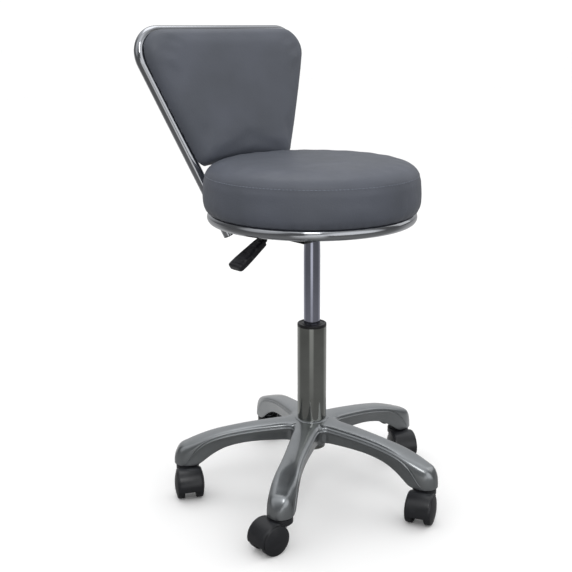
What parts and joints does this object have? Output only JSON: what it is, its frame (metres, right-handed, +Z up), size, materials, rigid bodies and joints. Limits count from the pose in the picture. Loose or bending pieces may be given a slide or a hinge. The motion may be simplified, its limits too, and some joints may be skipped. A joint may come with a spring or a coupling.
{
  "type": "examination stool",
  "caption": "Round swivel stool with a small framed backrest, gas-lift column, side lever and star base on twin-wheel castors.",
  "frame": {"origin": "point on the floor under the column's axis", "axes": "+Z up; the sitter faces -Y, the backrest is at +Y, the lever points to -X"},
  "size_m": [0.4748, 0.5052, 0.7951],
  "materials": {
    "base_metal": "polished die-cast aluminium",
    "chrome": "bright chrome plating",
    "steel": "plain zinc-plated steel",
    "black_steel": "black powder coat",
    "black_plastic": "moulded black plastic",
    "castor_plastic": "moulded black nylon",
    "grip_plastic": "smooth black plastic",
    "white_plastic": "acetal balls",
    "rubber": "black rubber",
    "vinyl": "grey upholstery vinyl with a fine grain",
    "foam": "upholstery foam",
    "plywood": "plain plywood",
    "black_felt": "black dust cloth"
  },
  "bodies": {
    "base": {"star_base": "base_metal", "stem_sockets": "black_plastic", "stand_tube": "chrome", "guide_bush": "black_plastic", "lower_washer": "steel", "thrust_balls": "white_plastic"},
    "rod": {"piston_rod": "steel", "piston": "steel", "rod_clip": "steel", "upper_washer": "steel", "rubber_bumper": "rubber"},
    "seat": {"gas_cylinder": "chrome", "cylinder_seal": "rubber", "taper_socket": "black_steel", "lift_bracket": "black_steel", "seat_plate": "black_steel", "plate_bolts": "steel", "tee_nuts": "steel", "lever_pivot": "steel", "seat_ring": "chrome", "cross_bars": "chrome", "back_frame": "chrome", "tube_plugs": "black_plastic", "seat_board": "plywood", "seat_foam": "foam", "seat_cover": "vinyl", "dust_cover": "black_felt", "back_board": "plywood", "back_foam": "foam", "back_cover": "vinyl", "back_screws": "steel"},
    "lever": {"lever_rod": "black_steel", "lever_grip": "grip_plastic"},
    "valve": {"valve_pin": "steel"},
    "castor_1": {"hood_1": "castor_plastic", "stem_1": "steel", "axle_1": "steel"},
    "wheel_left_1": {"wheel_left_1": "castor_plastic"},
    "wheel_right_1": {"wheel_right_1": "castor_plastic"},
    "castor_2": {"hood_2": "castor_plastic", "stem_2": "steel", "axle_2": "steel"},
    "wheel_left_2": {"wheel_left_2": "castor_plastic"},
    "wheel_right_2": {"wheel_right_2": "castor_plastic"},
    "castor_3": {"hood_3": "castor_plastic", "stem_3": "steel", "axle_3": "steel"},
    "wheel_left_3": {"wheel_left_3": "castor_plastic"},
    "wheel_right_3": {"wheel_right_3": "castor_plastic"},
    "castor_4": {"hood_4": "castor_plastic", "stem_4": "steel", "axle_4": "steel"},
    "wheel_left_4": {"wheel_left_4": "castor_plastic"},
    "wheel_right_4": {"wheel_right_4": "castor_plastic"},
    "castor_5": {"hood_5": "castor_plastic", "stem_5": "steel", "axle_5": "steel"},
    "wheel_left_5": {"wheel_left_5": "castor_plastic"},
    "wheel_right_5": {"wheel_right_5": "castor_plastic"}
  },
  "joints": [
    {"name": "seat_swivel", "type": "hinge", "parent": "base", "child": "rod", "pos_m": [0, 0, 0.0865], "axis": [0, 0, 1], "continuous": true},
    {"name": "seat_lift", "type": "slide", "parent": "rod", "child": "seat", "axis": [0, 0, 1], "range_m": [-0.12, 0]},
    {"name": "lever_pull", "type": "hinge", "parent": "seat", "child": "lever", "pos_m": [-0.024, 0, 0.4893], "axis": [0, 1, 0], "range_deg": [0, 7], "stiffness_Nm_per_rad": 23, "springref_deg": -2.86},
    {"name": "valve_press", "type": "slide", "parent": "seat", "child": "valve", "axis": [0, 0, -1], "range_m": [0, 0.003]},
    {"name": "castor_swivel_1", "type": "hinge", "parent": "base", "child": "castor_1", "pos_m": [0.21869, -0.00687, 0.0537], "axis": [0, 0, 1], "continuous": true},
    {"name": "wheel_left_spin_1", "type": "hinge", "parent": "castor_1", "child": "wheel_left_1", "pos_m": [0.20724, -0.02842, 0.025], "axis": [0.8829, -0.4695, 0], "continuous": true},
    {"name": "wheel_right_spin_1", "type": "hinge", "parent": "castor_1", "child": "wheel_right_1", "pos_m": [0.20724, -0.02842, 0.025], "axis": [0.8829, -0.4695, 0], "continuous": true},
    {"name": "castor_swivel_2", "type": "hinge", "parent": "base", "child": "castor_2", "pos_m": [0.07412, 0.20586, 0.0537], "axis": [0, 0, 1], "continuous": true},
    {"name": "wheel_left_spin_2", "type": "hinge", "parent": "castor_2", "child": "wheel_left_2", "pos_m": [0.09704, 0.21421, 0.025], "axis": [-0.342, 0.9397, 0], "continuous": true},
    {"name": "wheel_right_spin_2", "type": "hinge", "parent": "castor_2", "child": "wheel_right_2", "pos_m": [0.09704, 0.21421, 0.025], "axis": [-0.342, 0.9397, 0], "continuous": true},
    {"name": "castor_swivel_3", "type": "hinge", "parent": "base", "child": "castor_3", "pos_m": [-0.17289, 0.1341, 0.0537], "axis": [0, 0, 1], "continuous": true},
    {"name": "wheel_left_spin_3", "type": "hinge", "parent": "castor_3", "child": "wheel_left_3", "pos_m": [-0.18509, 0.11297, 0.025], "axis": [0.866, -0.5, 0], "continuous": true},
    {"name": "wheel_right_spin_3", "type": "hinge", "parent": "castor_3", "child": "wheel_right_3", "pos_m": [-0.18509, 0.11297, 0.025], "axis": [0.866, -0.5, 0], "continuous": true},
    {"name": "castor_swivel_4", "type": "hinge", "parent": "base", "child": "castor_4", "pos_m": [-0.18096, -0.12298, 0.0537], "axis": [0, 0, 1], "continuous": true},
    {"name": "wheel_left_spin_4", "type": "hinge", "parent": "castor_4", "child": "wheel_left_4", "pos_m": [-0.20535, -0.12213, 0.025], "axis": [-0.0349, -0.9994, 0], "continuous": true},
    {"name": "wheel_right_spin_4", "type": "hinge", "parent": "castor_4", "child": "wheel_right_4", "pos_m": [-0.20535, -0.12213, 0.025], "axis": [-0.0349, -0.9994, 0], "continuous": true},
    {"name": "castor_swivel_5", "type": "hinge", "parent": "base", "child": "castor_5", "pos_m": [0.06104, -0.21011, 0.0537], "axis": [0, 0, 1], "continuous": true},
    {"name": "wheel_left_spin_5", "type": "hinge", "parent": "castor_5", "child": "wheel_left_5", "pos_m": [0.0393, -0.22119, 0.025], "axis": [0.454, -0.891, 0], "continuous": true},
    {"name": "wheel_right_spin_5", "type": "hinge", "parent": "castor_5", "child": "wheel_right_5", "pos_m": [0.0393, -0.22119, 0.025], "axis": [0.454, -0.891, 0], "continuous": true}
  ],
  "couplings": [
    {"joint": "valve_press", "follows": "lever_pull", "m_per_rad": 0.024}
  ]
}
